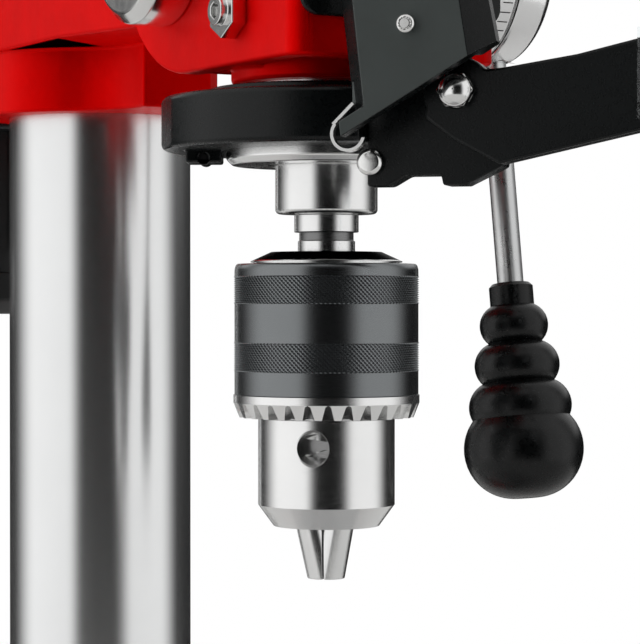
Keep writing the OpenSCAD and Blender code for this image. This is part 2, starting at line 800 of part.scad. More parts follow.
// Arbor and chuck
arbor_collar_r = 9;
arbor_collar_h = 5.1;
arbor_groove_r = 7.6;
arbor_groove_h = 2.4;
arbor_ring_r = 8;
chuck_top = spindle_z - 10.6;
stub_r = 7.8;
stub_end_r = 6.9;
stub_len = 22;
taper_gap = 0.12;
cap_top_r = 15.5;
cap_rim_r = 21.2;
cap_slope_h = 2.6;
sleeve_top = chuck_top - 3.3;
sleeve_h = 36.5;
sleeve_z = sleeve_top - sleeve_h;
ring_h = 6.2;
ring_z = sleeve_z - ring_h;
tooth_h = 4.1;
journal_r = 20.4;
journal_h = 7;
relief_r = 23.6;
chuck_z = ring_z - chuck_body_len;
chuck_mouth_r = 14.8;
chuck_taper_h = 5.9;
key_hole_z = ring_z - 7.9;
key_hole_a = -131.5;
jaw_tip_z = chuck_z - 14.8;
jaw_tip_r = 0.7;
jaw_len = 52;
jaw_gap = 0.15;
jaw_angles = [key_hole_a + 60, key_hole_a + 180, key_hole_a + 300];
nut_h = 5.6;

module arbor() {
    z = spindle_z;
    end_z = z + socket_len - 4;
    end_r = socket_r + (socket_end_r - socket_r) * (socket_len - 4) / socket_len - taper_gap;
    color(bright_steel) at_spindle() rotate_extrude() polygon([[0, chuck_top - stub_len],
        [stub_end_r, chuck_top - stub_len], [stub_r, chuck_top], [arbor_ring_r, chuck_top + 0.01],
        [arbor_ring_r, z - arbor_collar_h - arbor_groove_h],
        [arbor_groove_r, z - arbor_collar_h - arbor_groove_h],
        [arbor_groove_r, z - arbor_collar_h], [arbor_collar_r, z - arbor_collar_h], [arbor_collar_r, z - 0.3],
        [socket_r - taper_gap, z - 0.3], [end_r, end_z], [0, end_z]]);
}

// Places a child on the sloping axis of the jaw at an angle, with its own z along that axis
module on_jaw_axis(a) {
    translate([0, spindle_y, jaw_tip_z]) rotate(a) translate([jaw_tip_r, 0, 0])
        rotate([0, jaw_slope, 0]) children();
}

module chuck_body() {
    color(bright_steel) difference() {
        at_spindle() rotate_extrude() polygon([[0, chuck_z], [chuck_mouth_r, chuck_z],
            [chuck_r, chuck_z + chuck_taper_h], [chuck_r, ring_z - 0.4], [nut_core_r, ring_z - 0.4],
            [nut_core_r, ring_z + nut_h + 0.8], [journal_r, ring_z + nut_h + 0.8],
            [journal_r, sleeve_top + 0.4],
            [cap_rim_r, sleeve_top + 0.4], [cap_rim_r, chuck_top - cap_slope_h], [cap_top_r, chuck_top],
            [0, chuck_top]]);
        at_spindle() translate([0, 0, chuck_top - stub_len - 1])
            cylinder(r1 = stub_end_r + taper_gap, r2 = stub_r + taper_gap, h = stub_len + 1.01);
        at_spindle() translate([0, 0, chuck_z - cut]) cylinder(r = mouth_r, h = mouth_d + cut);
        for (a = jaw_angles) on_jaw_axis(a)
            translate([0, 0, (chuck_z + mouth_d - 1.2 - jaw_tip_z) / cos(jaw_slope)])
                cylinder(r = jaw_r + run_fit, h = jaw_len + 6);
        for (i = [0 : 2]) translate([0, spindle_y, key_hole_z]) rotate(key_hole_a + i * 120) {
            translate([chuck_r - 9, 0, 0]) along_x(key_hole_r, 20);
            translate([chuck_r - 0.6, 0, 0]) rotate([0, 90, 0])
                cylinder(r1 = key_hole_r, r2 = key_hole_r + 2, h = 2);
        }
    }
}

// Radius of the jaws' outer line at a height
function jaw_back(z) = jaw_tip_r + (z - jaw_tip_z) * tan(jaw_slope) + jaw_r / cos(jaw_slope);
nut_core_r = jaw_back(ring_z) - 1.2;
mouth_d = 6.5;
mouth_r = jaw_back(chuck_z + mouth_d) + 0.5;

module chuck_sleeve() {
    color(black_paint) at_spindle() difference() {
        rotate_extrude() polygon([[0, sleeve_z], [sleeve_r, sleeve_z], [sleeve_r, sleeve_top - 2.3],
            [sleeve_r - 0.35, sleeve_top - 0.75], [sleeve_r - 1.1, sleeve_top], [0, sleeve_top]]);
        translate([0, 0, sleeve_z - cut]) cylinder(r = journal_r + run_fit, h = sleeve_h + 2 * cut);
        translate([0, 0, sleeve_z + 3.5]) cylinder(r = relief_r, h = sleeve_h - 3.5 - journal_h);
    }
}

// Bright ring with the bevel teeth for the chuck key
module key_ring() {
    pitch_a = 360 / key_teeth;
    color(bright_steel) at_spindle() difference() {
        rotate_extrude() polygon([[0, ring_z], [sleeve_r - 1.6, ring_z], [sleeve_r, ring_z + tooth_h],
            [sleeve_r, sleeve_z], [0, sleeve_z]]);
        translate([0, 0, ring_z - cut]) cylinder(r = journal_r + run_fit, h = ring_h + 2 * cut);
        for (i = [0 : key_teeth - 1]) rotate(-119.1 + i * pitch_a) translate([journal_r - cut, 0, ring_z])
            rotate([90, 0, 90]) linear_extrude(10)
                polygon([[-1.95, -cut], [1.95, -cut], [0.75, tooth_h - 0.4], [0, tooth_h],
                    [-0.75, tooth_h - 0.4]]);
    }
}

module chuck_nut() {
    z0 = ring_z + 0.2;
    color(dark_steel) at_spindle() difference() {
        translate([0, 0, z0]) cylinder(r = journal_r - 0.05, h = nut_h);
        translate([0, 0, z0 - cut]) cylinder(r1 = jaw_back(z0 - cut) + free_gap,
            r2 = jaw_back(z0 + nut_h + cut) + free_gap, h = nut_h + 2 * cut);
    }
}

// One jaw: a round bar on its sloping axis, cut to its third of the circle and flat at the tip
module jaw(a) {
    color(bright_steel) difference() {
        on_jaw_axis(a) translate([0, 0, -4]) cylinder(r = jaw_r, h = 4 + jaw_len / cos(jaw_slope));
        translate([0, spindle_y, jaw_tip_z - 20]) rotate(a) {
            translate([-50, -50, 0]) cube([100, 100, 20]);
            for (m = [0, 1]) mirror([0, m, 0]) rotate(60)
                translate([-50, -jaw_gap, -cut]) cube([100, 50, 200]);
        }
    }
}

module jaw_a() jaw(jaw_angles[0]);
module jaw_b() jaw(jaw_angles[1]);
module jaw_c() jaw(jaw_angles[2]);

// Guard, in a frame turned with its arm: s runs out along the arm, t runs across it
guard_turn = -45;
guard_z = quill_nose_z + 4;
lug_t0 = -36;
lug_t1 = -27;
arm_gap = 0.5;
arm_t1 = lug_t0 - arm_gap;
arm_t0 = arm_t1 - arm_t;
housing_t1 = arm_t0 - 1.5;
housing_t0 = housing_t1 - 10;
housing_thin = 5.5;
foot_t = housing_t0 + 4;
housing_thick_up = 25;
pivot_s = 46.4;
pivot_up = 16.2;
pivot_z = quill_nose_z + pivot_up;
pivot_r = 4;
flat_a = 165;
flat_at = 45.5;
rim_r = 33;
rim_up = 21;
arm_end = 105;
arm_boss_r = 9;
shield_a0 = -112;
shield_a1 = -54;
shield_low = -61;
shield_high = -38.5;
tab_len = 12;
tab_t = 2.5;
clamp_r = 1.2;
clamp_head_r = 1.7;

module guard_frame() {
    at_spindle() rotate(guard_turn) children();
}

// Extrudes an outline drawn in s and height above the quill nose, from one t to another
module slab(t0, t1) {
    translate([0, t1, quill_nose_z]) rotate([90, 0, 0]) linear_extrude(t1 - t0) children();
}

module lug_plan() {
    polygon([[20.6, -7.6], [26.3, -7.6], [31, -4.9], [40.4, -4.9], [41, -7.6], [46.9, -7.6], [57, -2.7],
        [57, 17.5], [53, 23], [40, 23], [32, 18.7], [20.6, 18.7]]);
}

module guard_collar() {
    color(black_plastic) difference() {
        union() {
            intersection() {
                at_spindle() union() {
                    translate([0, 0, guard_z]) rotate_extrude()
                        polygon([[0, 0], [guard_r - 1, 0], [guard_r, 1],
                            [guard_r, guard_h - 1.2], [guard_r - 1.2, guard_h], [0, guard_h]]);
                    translate([0, 0, guard_z]) cylinder(r = rim_r, h = rim_up - 4);
                }
                at_spindle() rotate(flat_a) translate([-100, -100, quill_nose_z])
                    cube([100 + flat_at, 200, 60]);
                guard_frame() translate([0, 0, quill_nose_z]) linear_extrude(60) union() {
                    translate([-100, -100]) square([120, 200]);
                    translate([-100, lug_t0 + 1]) square([132.5, 200]);
                }
            }
            guard_frame() slab(lug_t0, lug_t1) lug_plan();
            at_spindle() rotate(150) translate([nose_r + 1, -7, quill_nose_z + 0.6]) cube([10, 14, 6]);
        }
        at_spindle() translate([0, 0, quill_nose_z - cut]) cylinder(r = nose_r + seat_fit, h = 60);
        guard_frame() translate([pivot_s, lug_t0 - cut, pivot_z]) along_y(pivot_r + seat_fit, 20);
        guard_frame() translate([21.6, lug_t0 - cut, quill_nose_z - 1.3]) along_y(2 + seat_fit, 7);
        clamp_axis() translate([0, 0, -cut]) cylinder(r = clamp_r + seat_fit, h = 20);
    }
}

module clamp_axis() {
    at_spindle() rotate(150) translate([nose_r + 6, -7, guard_z - clamp_head_r - free_gap])
        rotate([-90, 0, 0]) children();
}

module guard_clamp_screw() {
    color(dark_steel) clamp_axis() {
        translate([0, 0, -1.5]) cylinder(r = clamp_r, h = 15);
        translate([0, 0, -3.5]) cylinder(r = clamp_head_r, h = 3.2);
    }
}

module arm_plan() {
    polygon([[38, 9.5], [39, 21.4], [51, 21.4], [58.7, 22], [77.4, 24.9], [92.9, 28.5], [arm_end, 32],
        [arm_end, 7.7], [92.9, 5], [57.2, -2.7], [45, 4]]);
}

module guard_arm() {
    color(black_plastic) guard_frame() difference() {
        union() {
            slab(arm_t0, arm_t1) arm_plan();
            translate([pivot_s, arm_t0, pivot_z]) along_y(arm_boss_r, arm_t);
        }
        translate([pivot_s, arm_t0 - cut, pivot_z]) along_y(pivot_r + run_fit, arm_t + 2 * cut);
        shield_screw_places() along_y(1.5 + seat_fit, 6);
    }
}

module shield_screw_places() {
    for (up = [12.5, 25]) translate([arm_end - 8, arm_t0 - cut, quill_nose_z + up]) children();
}

module guard_pivot() {
    color(bright_steel) guard_frame() translate([pivot_s, 0, pivot_z]) {
        translate([0, arm_t0 - 2, 0]) along_y(pivot_r, lug_t1 - arm_t0 + 6);
        translate([0, arm_t0 - 3.3, 0]) rotate([-90, 0, 0]) hexagon(4.2, 3);
        translate([0, arm_t0 - 3.3, 0]) rotate([90, 0, 0]) rotate_extrude() intersection() {
            translate([0, -2.6]) circle(r = 4.8);
            square([5, 5]);
        }
        translate([0, lug_t1 + 0.3, 0]) rotate([-90, 0, 0]) hexagon(6.5, 4.5);
    }
}

// Front face of the housing with the tongue that the hook holds
module housing_plan() {
    polygon([[18.5, 4.2], [51.5, 23.9], [47.8, 47.5], [20.7, 47.5], [23.1, 32.2], [26.2, 13], [18, 8]]);
}

module housing_face() {
    polygon([[25, 8.1], [51.5, 23.9], [47.8, 47.5], [20.7, 47.5], [23.1, 32.2], [26.2, 13]]);
}

// The housing's wider back, from which its sides slope to the face
module housing_back() {
    polygon([[21.8, 6.2], [58, 27.8], [54.2, 47.5], [16.5, 47.5], [18.6, 32.2], [21.8, 13]]);
}

module guard_switch() {
    back = housing_t0 + housing_thin;
    color(black_plastic) guard_frame() difference() {
        union() {
            slab(housing_t0, back) housing_plan();
            hull() {
                slab(housing_t0, housing_t0 + 0.3) housing_face();
                slab(back - 0.5, back) housing_back();
            }
            slab(back - 0.5, housing_t1) intersection() {
                housing_back();
                translate([0, housing_thick_up]) square([60, 30]);
            }
            translate([20.6, foot_t, quill_nose_z + 12.5]) cube([6.4, lug_t0 - foot_t, 6]);
        }
        housing_screw_place() along_y(1.4 + seat_fit, 6);
    }
}

module housing_screw_place() {
    translate([35.7, housing_t0 - cut, quill_nose_z + 32.4]) children();
}

// Spring hook bent round the housing's tongue
module guard_hook() {
    color(bright_steel) guard_frame() slab(housing_t0 + 1.5, foot_t) difference() {
        union() {
            difference() {
                translate([20, 5]) circle(r = 4.6);
                translate([20, 5]) circle(r = 3.8);
                translate([20.6, 4]) square([10, 10]);
                translate([18.5, 5.8]) rotate(45) square([10, 10]);
            }
            translate([17.31, 7.69]) rotate(45) translate([-1, 0.3]) square([7.5, 0.8]);
        }
        offset_tongue();
    }
}

// The tongue's outline with the hook's clearance round it
module offset_tongue() {
    polygon([[17.6, 3.4], [52, 23], [52, 47.5], [24.6, 13.2], [17.4, 8.4]]);
}

module pan_head(r, len) {
    translate([0, cut - 2, 0]) along_y(r, len + 1);
    translate([0, cut, 0]) rotate([90, 0, 0]) rotate_extrude()
        polygon([[0, 0], [1.75 * r, 0], [1.75 * r, 0.9 * r], [1.3 * r, 1.3 * r], [0, 1.4 * r]]);
}

module guard_screws() {
    color(bright_steel) guard_frame() {
        translate([21.6, lug_t0 - cut, quill_nose_z - 1.3]) pan_head(2, 5);
        housing_screw_place() pan_head(1.4, 4);
    }
}

module shield_screws() {
    color(dark_steel) guard_frame() shield_screw_places() translate([0, -tab_t, 0]) pan_head(1.5, 6);
}

// Clear shield, drawn where it hangs when lowered and then swung up with the arm
module guard_shield() {
    color([0.85, 0.9, 0.92, 0.4]) guard_frame() {
        translate([pivot_s, 0, pivot_z]) rotate([0, -guard_swing, 0]) translate([-pivot_s, 0, -pivot_z])
            translate([0, 0, quill_nose_z + shield_low]) rotate(shield_a0)
                rotate_extrude(angle = shield_a1 - shield_a0)
                    translate([shield_r, 0]) square([shield_t, shield_high - shield_low]);
        difference() {
            translate([arm_end - tab_len, arm_t0 - tab_t, quill_nose_z + 8]) cube([tab_len + 6, tab_t, 23]);
            shield_screw_places() translate([0, -4, 0]) along_y(1.5 + seat_fit, 12);
        }
    }
}

// Belt drive
belt_top_half = 4.5;
belt_low_half = 2.8;
belt_h = 6;
belt_sink = 0.3;
groove_half = 5;
groove_low_half = 2.9;
groove_d = 7.5;
belt_z = pulley_z + pulley_h / 2;
motor_top = head_top - 9;
motor_bottom = motor_top - motor_len;
motor_cover_h = 15;
motor_wall = 8;
motor_shaft_r = 8;
plate_t = 8;
plate_y = motor_y - motor_r - 5 - plate_t;
plate_half = 54;
plate_h = 125;
sleeve_fit_r = bearing_bore - seat_fit;

// Stepped vee pulley: direction 1 has its largest step at the bottom
module pulley(direction, bore_r) {
    mid = (steps - 1) / 2;
    difference() {
        rotate_extrude() for (i = [0 : steps - 1]) {
            r = step_mid_r + direction * (mid - i) * step_dr;
            z = i * step_h;
            c = z + step_h / 2;
            polygon([[0, z], [r - 1, z], [r, z + 1], [r, c - groove_half],
                [r - groove_d, c - groove_low_half],
                [r - groove_d, c + groove_low_half], [r, c + groove_half], [r, z + step_h - 1],
                [r - 1, z + step_h], [0, z + step_h]]);
        }
        translate([0, 0, -cut]) cylinder(r = bore_r, h = pulley_h + 2 * cut);
    }
}

module drive_sleeve() {
    color(bright_steel) at_spindle() translate([0, 0, bearing_z - 2]) difference() {
        cylinder(r = sleeve_fit_r, h = pulley_z + pulley_h - bearing_z + 2);
        difference() {
            translate([0, 0, -cut]) cylinder(r = spline_r + run_fit, h = 200);
            for (i = [0 : spline_n - 1]) rotate(i * 360 / spline_n)
                translate([spline_r - spline_d + 0.3, -spline_w / 2 + 0.3, -2 * cut])
                    cube([4, spline_w - 0.6, 300]);
        }
    }
}

module sleeve_bearings() {
    color(dark_steel) at_spindle() for (z = [bearing_z, bearing_z + bearing_h + 7]) translate([0, 0, z])
        ring(bearing_r, bearing_bore, bearing_h);
}

module spindle_pulley() {
    color(bright_steel) at_spindle() translate([0, 0, pulley_z]) pulley(1, bearing_bore);
}

module motor_pulley() {
    color(bright_steel) translate([0, motor_y, pulley_z]) pulley(-1, motor_shaft_r + seat_fit);
}

module belt_section() {
    r = step_mid_r - belt_sink;
    polygon([[r - belt_h, -belt_low_half], [r, -belt_top_half],
        [r, belt_top_half], [r - belt_h, belt_low_half]]);
}

module belt() {
    color(black_paint) translate([0, 0, belt_z]) {
        translate([0, motor_y, 0]) rotate_extrude(angle = 180) belt_section();
        translate([0, spindle_y, 0]) rotate(180) rotate_extrude(angle = 180) belt_section();
        for (m = [0, 1]) mirror([m, 0, 0]) translate([0, motor_y, 0]) rotate([90, 0, 0])
            linear_extrude(belt_centres) belt_section();
    }
}

module at_motor() {
    translate([0, motor_y, 0]) children();
}

module motor_shaft() {
    rotor_r = motor_r - motor_wall - 12;
    color(bright_steel) at_motor() {
        translate([0, 0, motor_bottom + 6])
            cylinder(r = motor_shaft_r, h = pulley_z + pulley_h - motor_bottom - 8);
        translate([0, 0, motor_bottom + 40]) cylinder(r = rotor_r, h = motor_len - 80);
    }
}

fin_n = 30;

module motor_body() {
    z0 = motor_bottom + motor_cover_h;
    h = motor_len - 2 * motor_cover_h;
    foot_y = plate_y + plate_t;
    color(black_paint) difference() {
        union() {
            at_motor() translate([0, 0, z0]) cylinder(r = motor_r - 4, h = h);
            at_motor() for (i = [0 : fin_n - 1]) rotate(i * 360 / fin_n + 6)
                translate([motor_r - 8, -1.25, z0 + 8]) cube([8, 2.5, h - 16]);
            translate([-44, foot_y, z0 + h / 2]) cube([88, motor_y - foot_y, 60]);
        }
        at_motor() translate([0, 0, z0 - cut]) cylinder(r = motor_r - 4 - motor_wall, h = h + 2 * cut);
    }
}

// End covers of the motor: the lower one has its air slots
module motor_covers() {
    color(black_paint) at_motor() {
        difference() {
            translate([0, 0, motor_top - motor_cover_h]) rotate_extrude() polygon([[0, 0], [motor_r - 2, 0],
                [motor_r - 2, 8], [motor_r - 14, motor_cover_h], [0, motor_cover_h]]);
            translate([0, 0, motor_top - 40]) cylinder(r = motor_shaft_r + run_fit, h = 60);
        }
        difference() {
            translate([0, 0, motor_bottom]) rotate_extrude()
                polygon([[0, 0], [motor_r - 8, 0], [motor_r - 2, 5],
                [motor_r - 2, motor_cover_h], [0, motor_cover_h]]);
            translate([0, 0, motor_bottom + 5]) cylinder(r = motor_shaft_r + run_fit, h = 60);
            for (i = [0 : 11]) rotate(i * 30)
                translate([22, -2.5, motor_bottom - cut]) cube([24, 5, 4 + cut]);
        }
    }
}

terminal_w = 30;

module terminal_box() {
    z0 = motor_bottom + 62;
    gland_x = motor_r + 16;
    color(black_plastic) {
        difference() {
            translate([motor_r - 12, motor_y - 34, z0]) cube([terminal_w + 12, 68, 56]);
            at_motor() translate([0, 0, z0 - cut]) cylinder(r = motor_r + free_gap, h = 60);
        }
        translate([gland_x, motor_y, z0 - 14]) difference() {
            union() {
                cylinder(r = 8, h = 14.5);
                translate([0, 0, 3]) hexagon(9.5, 7);
            }
            translate([0, 0, -cut]) cylinder(r = 4, h = 12);
        }
    }
}

module motor_plate() {
    color(black_paint) difference() {
        translate([-plate_half, plate_y, head_top - 5 - plate_h]) cube([2 * plate_half, plate_t, plate_h]);
        for (x = [-1, 1]) translate([x * rod_x, plate_y - cut, rod_z])
            along_y(rod_r + seat_fit, plate_t + 2 * cut);
    }
}

module slide_rods() {
    color(bright_steel) for (x = [-1, 1]) translate([x * rod_x, rod_front, rod_z])
        along_y(rod_r, plate_y + plate_t + 3 - rod_front);
}

// Belt housing
hinge_x = -housing_r - 4.5;
hinge_z = head_top + tray_h;
hinge_y = 60;
hinge_len = 90;
knuckle_r = 4;
hinge_pin_r = 2;
lid_round = 14;

// A section revolved round both ends of the housing and run straight between them
module housing_sweep() {
    translate([0, motor_y, 0]) rotate_extrude(angle = 180) children();
    translate([0, spindle_y, 0]) rotate(180) rotate_extrude(angle = 180) children();
    for (m = [0, 1]) mirror([m, 0, 0]) translate([0, motor_y, 0]) rotate([90, 0, 0])
        linear_extrude(belt_centres) children();
}

module knuckle(y, len) {
    translate([hinge_x, y, hinge_z]) along_y(knuckle_r, len);
}

module belt_tray() {
    slot_r = motor_shaft_r + 8;
    color(black_paint) difference() {
        union() {
            translate([0, 0, head_top]) housing_sweep() {
                square([housing_r, housing_wall]);
                translate([housing_r - housing_wall, 0]) square([housing_wall, tray_h]);
            }
            for (y = [hinge_y - 16, hinge_y + hinge_len + 0.5]) difference() {
                union() {
                    knuckle(y, 15.5);
                    translate([hinge_x, y, hinge_z - 9]) cube([5, 15.5, 9 - 0.3]);
                }
                translate([hinge_x + knuckle_r + 0.5, y - cut, hinge_z - 0.3]) cube([10, 20, 10]);
            }
        }
        at_spindle() translate([0, 0, head_top - cut]) cylinder(r = tower_r + seat_fit, h = 10);
        translate([0, motor_y - tension_travel, head_top - cut]) cylinder(r = slot_r, h = 10);
        translate([0, motor_y, head_top - cut]) cylinder(r = slot_r, h = 10);
        translate([-slot_r, motor_y - tension_travel, head_top - cut]) cube([2 * slot_r, tension_travel, 10]);
        translate([hinge_x, hinge_y - 40, hinge_z]) along_y(hinge_pin_r + seat_fit, hinge_len + 80);
    }
}

// Section of the lid: a wall with a round shoulder and a flat top
module lid_section() {
    w = housing_wall;
    difference() {
        union() {
            square([housing_r, lid_h - lid_round]);
            square([housing_r - lid_round, lid_h]);
            translate([housing_r - lid_round, lid_h - lid_round]) circle(r = lid_round);
        }
        translate([-cut, -cut]) square([housing_r - w + cut, lid_h - lid_round + cut]);
        translate([-cut, -cut]) square([housing_r - lid_round + cut, lid_h - w + cut]);
        translate([housing_r - lid_round, lid_h - lid_round]) circle(r = lid_round - w);
        translate([-2 * housing_r, -cut]) square([2 * housing_r, 2 * lid_h]);
    }
}

module belt_lid() {
    color(red_paint) difference() {
        union() {
            translate([0, 0, hinge_z]) housing_sweep() lid_section();
            knuckle(hinge_y, hinge_len);
            translate([hinge_x, hinge_y, hinge_z + 0.3]) cube([5, hinge_len, 9]);
        }
        translate([hinge_x, hinge_y - cut, hinge_z]) along_y(hinge_pin_r + run_fit, hinge_len + 2 * cut);
        knob_place() translate([-6, 0, 0]) along_x(3 + seat_fit, 12);
    }
}

module hinge_pin() {
    color(bright_steel) translate([hinge_x, hinge_y - 17, hinge_z]) along_y(hinge_pin_r, hinge_len + 34);
}

module knob_place() {
    translate([housing_r, (spindle_y + motor_y) / 2, hinge_z + 16]) children();
}

module lid_knob() {
    color(black_plastic) knob_place() {
        translate([-5, 0, 0]) along_x(3, 6);
        rotate([0, 90, 0]) rotate_extrude()
            polygon([[0, 0], [6, 0], [6, 4], [10, 8], [11.5, 14], [9.5, 19], [0, 20.5]]);
    }
}

base();
column_foot();
foot_bolts();
column();
table_bracket();
bracket_screw();
bracket_lever();
table();
tilt_bolt();
head_casting();
column_set_screws();
gib_screw();
switch_plate();
start_button();
stop_button();
spring_cap();
return_spring();
feed_shaft();
feed_nuts();
feed_hub();
depth_drum();
drum_screw();
feed_levers();
lever_knobs();
quill();
upper_bearing();
lower_bearing();
spindle();
arbor();
chuck_body();
chuck_sleeve();
key_ring();
chuck_nut();
jaw_a();
jaw_b();
jaw_c();
guard_collar();
guard_clamp_screw();
guard_arm();
guard_pivot();
guard_switch();
guard_hook();
guard_screws();
guard_shield();
shield_screws();
drive_sleeve();
sleeve_bearings();
spindle_pulley();
belt();
motor_pulley();
motor_shaft();
motor_body();
motor_covers();
terminal_box();
motor_plate();
slide_rods();
belt_tray();
belt_lid();
hinge_pin();
lid_knob();
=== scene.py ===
"""Looks of the bench pillar drill: finishes, softened edges, knurling, scale marks, light
and camera. Lengths are in metres."""

import json
import math

import bmesh
import bpy
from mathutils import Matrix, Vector


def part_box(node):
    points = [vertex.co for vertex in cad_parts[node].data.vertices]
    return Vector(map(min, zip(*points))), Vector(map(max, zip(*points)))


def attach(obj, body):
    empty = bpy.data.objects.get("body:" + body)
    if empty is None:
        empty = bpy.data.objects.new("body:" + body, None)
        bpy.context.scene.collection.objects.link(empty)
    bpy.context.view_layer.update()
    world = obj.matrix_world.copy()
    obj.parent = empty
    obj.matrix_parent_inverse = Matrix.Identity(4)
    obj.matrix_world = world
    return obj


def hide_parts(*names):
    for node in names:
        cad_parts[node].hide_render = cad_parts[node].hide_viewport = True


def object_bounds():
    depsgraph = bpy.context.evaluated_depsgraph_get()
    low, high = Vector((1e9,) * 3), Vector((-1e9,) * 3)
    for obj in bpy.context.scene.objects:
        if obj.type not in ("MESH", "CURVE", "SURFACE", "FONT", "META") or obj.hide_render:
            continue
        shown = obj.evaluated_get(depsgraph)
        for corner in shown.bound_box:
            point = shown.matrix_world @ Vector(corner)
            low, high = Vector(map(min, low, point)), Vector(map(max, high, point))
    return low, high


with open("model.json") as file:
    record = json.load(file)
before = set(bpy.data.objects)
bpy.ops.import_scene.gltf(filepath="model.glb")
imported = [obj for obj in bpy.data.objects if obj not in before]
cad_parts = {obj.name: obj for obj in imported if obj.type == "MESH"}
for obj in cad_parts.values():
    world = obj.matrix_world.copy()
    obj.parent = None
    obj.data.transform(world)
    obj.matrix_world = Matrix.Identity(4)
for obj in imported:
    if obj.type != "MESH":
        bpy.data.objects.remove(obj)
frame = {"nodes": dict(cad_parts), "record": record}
cad_low, cad_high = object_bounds()
nodes = frame["nodes"]
record = frame["record"]
body_of_node = {n: b for b, ns in record["behaviour"]["bodies"].items() for n in ns}
slot_of_node = {s["node"]: s["material_slot"] for s in record["subparts"]}
MM = 0.001

# Places that the frame gives
sleeve_low, sleeve_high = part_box("chuck_sleeve")
spindle_x = (sleeve_low.x + sleeve_high.x) / 2
spindle_y = (sleeve_low.y + sleeve_high.y) / 2

# Materials: a noise keeps mostly between these two values, so ramps run from one to the other
NOISE_LOW = 0.3
NOISE_HIGH = 0.7
NOISE_ROUGHNESS = 0.55
# Lie of the tool marks: how many times finer a noise is along each axis
EVEN = (1, 1, 1)
TURNED = (1, 1, 40)
TURNED_X = (40, 1, 1)
DRAWN = (1, 1, 0.02)
MILLED = (1, 0.05, 1)


class Look:
    """A Principled material with short helpers for its texture nodes."""

    def __init__(self, name, base, rough, metallic=0.0, specular=0.5):
        self.mat = bpy.data.materials.new(name)
        self.mat.use_nodes = True
        self.tree = self.mat.node_tree
        self.shader = self.tree.nodes["Principled BSDF"]
        self.base = base
        self.put("Base Color", (*base, 1))
        self.put("Metallic", metallic)
        self.put("Roughness", rough)
        self.put("Specular IOR Level", specular)
        self.normal = None

    def put(self, socket, value):
        self.shader.inputs[socket].default_value = value

    def node(self, kind, **inputs):
        """A new node; an underscore in the name of an input stands for a space."""
        n = self.tree.nodes.new(kind)
        for key, value in inputs.items():
            n.inputs[key.replace("_", " ")].default_value = value
        return n

    def link(self, a, b):
        self.tree.links.new(a, b)

    def noise(self, scale, lie=EVEN, detail=3.0):
        """Noise in object space, with a scale in waves to a metre."""
        place = self.node("ShaderNodeTexCoord")
        mapping = self.node("ShaderNodeMapping", Scale=[scale * s for s in lie])
        texture = self.node(
            "ShaderNodeTexNoise", Scale=1.0, Detail=detail, Roughness=NOISE_ROUGHNESS
        )
        self.link(place.outputs["Object"], mapping.inputs["Vector"])
        self.link(mapping.outputs["Vector"], texture.inputs["Vector"])
        return texture.outputs["Fac"]

    def ramp(self, source, low, high):
        """A number that goes from low to high with a noise."""
        n = self.node(
            "ShaderNodeMapRange", From_Min=NOISE_LOW, From_Max=NOISE_HIGH, To_Min=low, To_Max=high
        )
        self.link(source, n.inputs["Value"])
        return n.outputs["Result"]

    def tint(self, source, dark, light):
        """Base colour that goes from dark to light times the plain base with a noise."""
        n = self.node("ShaderNodeMix")
        n.data_type = "RGBA"
        colours = [s for s in n.inputs if s.type == "RGBA"]
        colours[0].default_value = (*[c * dark for c in self.base], 1)
        colours[1].default_value = (*[min(1, c * light) for c in self.base], 1)
        self.link(self.ramp(source, 0, 1), n.inputs[0])
        mixed = [s for s in n.outputs if s.type == "RGBA"][0]
        self.link(mixed, self.shader.inputs["Base Color"])

    def wear(self, source, low, high):
        """Roughness that goes from low to high with a noise."""
        self.link(self.ramp(source, low, high), self.shader.inputs["Roughness"])

    def bump(self, source, depth):
        """Relief of a depth in metres, on top of any earlier relief."""
        n = self.node("ShaderNodeBump", Strength=1.0, Distance=depth)
        self.link(source, n.inputs["Height"])
        if self.normal is not None:
            self.link(self.normal, n.inputs["Normal"])
        self.normal = n.outputs["Normal"]
        self.link(self.normal, self.shader.inputs["Normal"])


def paint(name, base, rough, lumps, metallic=0.0, specular=0.5):
    """Enamel on a casting, with lumps of a depth and a fine skin over them."""
    look = Look(name, base, rough, metallic, specular)
    look.tint(look.noise(scale=90), dark=0.94, light=1.05)
    look.wear(look.noise(scale=320), low=rough - 0.04, high=rough + 0.06)
    look.bump(look.noise(scale=240, detail=2), depth=lumps)
    look.bump(look.noise(scale=1400, detail=2), depth=lumps * 0.12)
    return look


def plastic(name, base, rough, grain=0.00003, specular=0.5):
    """Moulded plastic or rubber with a fine grain of a depth."""
    look = Look(name, base, rough, specular=specular)
    look.tint(look.noise(scale=60), dark=0.9, light=1.1)
    look.wear(look.noise(scale=700), low=rough - 0.04, high=rough + 0.05)
    look.bump(look.noise(scale=2600, detail=2), depth=grain)
    return look


def metal(name, base, rough, lie, spread=0.05, depth=0.000008, stain=0.95):
    """Bare or plated metal, with tool marks of a lie and a depth."""
    look = Look(name, base, rough, metallic=1.0)
    look.tint(look.noise(scale=45, detail=5), dark=stain, light=1.0)
    look.wear(look.noise(240, lie, detail=4), low=rough - spread, high=rough + spread)
    look.bump(look.noise(420, lie, detail=3), depth=depth)
    return look


red = paint(
    "red_enamel", (0.8, 0.0006, 0.0006), rough=0.36, lumps=0.0001, metallic=0.25, specular=0.06
)
red.put("Specular Tint", (1.0, 0.05, 0.05, 1))

# The column is ground round its axis, so it blurs what it shows along its length
column_steel = metal(
    "drawn_steel", (0.8, 0.805, 0.805), 0.24, DRAWN, spread=0.012, depth=0.000001, stain=0.98
)
column_steel.put("Anisotropic", 0.7)
column_steel.put("Anisotropic Rotation", 0.25)
around_axis = column_steel.node("ShaderNodeTangent")
around_axis.direction_type = "RADIAL"
around_axis.axis = "Z"
column_steel.link(around_axis.outputs["Tangent"], column_steel.shader.inputs["Tangent"])

